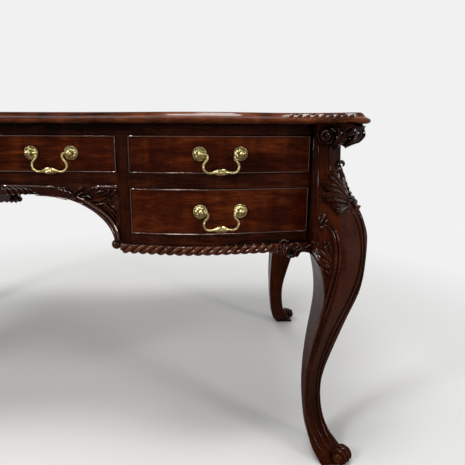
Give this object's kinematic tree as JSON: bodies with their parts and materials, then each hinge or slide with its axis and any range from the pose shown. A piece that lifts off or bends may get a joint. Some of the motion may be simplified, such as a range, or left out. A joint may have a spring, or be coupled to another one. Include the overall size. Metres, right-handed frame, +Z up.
{
  "type": "writing desk",
  "caption": "Serpentine mahogany writing desk with pedestal drawers, an arched kneehole, carved cabriole legs, rope mouldings and brass swan-neck handles.",
  "frame": {"origin": "on the floor under the middle of the desk", "axes": "+X along the front to the right as the sitter sees it, -Y towards the sitter, +Z up"},
  "size_m": [1.596, 0.906, 0.78],
  "materials": {
    "mahogany": "french polished",
    "figured_mahogany": "french polished",
    "drawer_lining": "bare oak",
    "handle_brass": "aged, cast",
    "top_leather": "polished hide"
  },
  "bodies": {
    "carcass": {"top_panel": "mahogany", "leather_skiver": "top_leather", "top_rail_front": "mahogany", "kneehole_rail": "mahogany", "mid_rail_left": "mahogany", "mid_rail_right": "mahogany", "bottom_rail_left": "mahogany", "bottom_rail_right": "mahogany", "divider_left": "mahogany", "divider_right": "mahogany", "kneehole_side_left": "mahogany", "kneehole_side_right": "mahogany", "end_panel_left": "mahogany", "end_panel_right": "mahogany", "back_panels": "mahogany", "dust_boards_left": "drawer_lining", "dust_boards_right": "drawer_lining", "centre_board": "drawer_lining", "apron_front": "mahogany", "apron_rear": "mahogany", "rope_front_left": "mahogany", "rope_front_right": "mahogany", "rope_rear_and_ends": "mahogany", "leg_front_left": "mahogany", "leg_front_right": "mahogany", "leg_rear_left": "mahogany", "leg_rear_right": "mahogany", "knee_brackets_front": "mahogany", "knee_brackets_rear": "mahogany"},
    "drawer_centre": {"drawer_front_centre": "figured_mahogany", "drawer_bead_centre": "mahogany", "drawer_box_centre": "drawer_lining", "drawer_bottom_centre": "drawer_lining", "handle_mounts_centre": "handle_brass"},
    "drawer_left_upper": {"drawer_front_left_upper": "figured_mahogany", "drawer_bead_left_upper": "mahogany", "drawer_box_left_upper": "drawer_lining", "drawer_bottom_left_upper": "drawer_lining", "handle_mounts_left_upper": "handle_brass"},
    "drawer_left_lower": {"drawer_front_left_lower": "figured_mahogany", "drawer_bead_left_lower": "mahogany", "drawer_box_left_lower": "drawer_lining", "drawer_bottom_left_lower": "drawer_lining", "handle_mounts_left_lower": "handle_brass"},
    "drawer_right_upper": {"drawer_front_right_upper": "figured_mahogany", "drawer_bead_right_upper": "mahogany", "drawer_box_right_upper": "drawer_lining", "drawer_bottom_right_upper": "drawer_lining", "handle_mounts_right_upper": "handle_brass"},
    "drawer_right_lower": {"drawer_front_right_lower": "figured_mahogany", "drawer_bead_right_lower": "mahogany", "drawer_box_right_lower": "drawer_lining", "drawer_bottom_right_lower": "drawer_lining", "handle_mounts_right_lower": "handle_brass"},
    "bail_centre_left": {"bail_centre_left": "handle_brass"},
    "bail_centre_right": {"bail_centre_right": "handle_brass"},
    "bail_left_upper": {"bail_left_upper": "handle_brass"},
    "bail_left_lower": {"bail_left_lower": "handle_brass"},
    "bail_right_upper": {"bail_right_upper": "handle_brass"},
    "bail_right_lower": {"bail_right_lower": "handle_brass"}
  },
  "joints": [
    {"name": "drawer_centre_slide", "type": "slide", "parent": "carcass", "child": "drawer_centre", "axis": [0, -1, 0], "range_m": [0, 0.38]},
    {"name": "drawer_left_upper_slide", "type": "slide", "parent": "carcass", "child": "drawer_left_upper", "axis": [0, -1, 0], "range_m": [0, 0.38]},
    {"name": "drawer_left_lower_slide", "type": "slide", "parent": "carcass", "child": "drawer_left_lower", "axis": [0, -1, 0], "range_m": [0, 0.38]},
    {"name": "drawer_right_upper_slide", "type": "slide", "parent": "carcass", "child": "drawer_right_upper", "axis": [0, -1, 0], "range_m": [0, 0.38]},
    {"name": "drawer_right_lower_slide", "type": "slide", "parent": "carcass", "child": "drawer_right_lower", "axis": [0, -1, 0], "range_m": [0, 0.38]},
    {"name": "bail_centre_left_swing", "type": "hinge", "parent": "drawer_centre", "child": "bail_centre_left", "pos_m": [-0.12918, -0.35825, 0.6985], "axis": [-0.9985, -0.0549, 0], "range_deg": [-10, 180]},
    {"name": "bail_centre_right_swing", "type": "hinge", "parent": "drawer_centre", "child": "bail_centre_right", "pos_m": [0.12918, -0.35825, 0.6985], "axis": [-0.9985, 0.0549, 0], "range_deg": [-10, 180]},
    {"name": "bail_left_upper_swing", "type": "hinge", "parent": "drawer_left_upper", "child": "bail_left_upper", "pos_m": [-0.48383, -0.39479, 0.6985], "axis": [-0.9925, 0.1219, 0], "range_deg": [-10, 180]},
    {"name": "bail_left_lower_swing", "type": "hinge", "parent": "drawer_left_lower", "child": "bail_left_lower", "pos_m": [-0.48383, -0.39479, 0.58075], "axis": [-0.9925, 0.1219, 0], "range_deg": [-10, 180]},
    {"name": "bail_right_upper_swing", "type": "hinge", "parent": "drawer_right_upper", "child": "bail_right_upper", "pos_m": [0.48383, -0.39479, 0.6985], "axis": [-0.9925, -0.1219, 0], "range_deg": [-10, 180]},
    {"name": "bail_right_lower_swing", "type": "hinge", "parent": "drawer_right_lower", "child": "bail_right_lower", "pos_m": [0.48383, -0.39479, 0.58075], "axis": [-0.9925, -0.1219, 0], "range_deg": [-10, 180]}
  ]
}
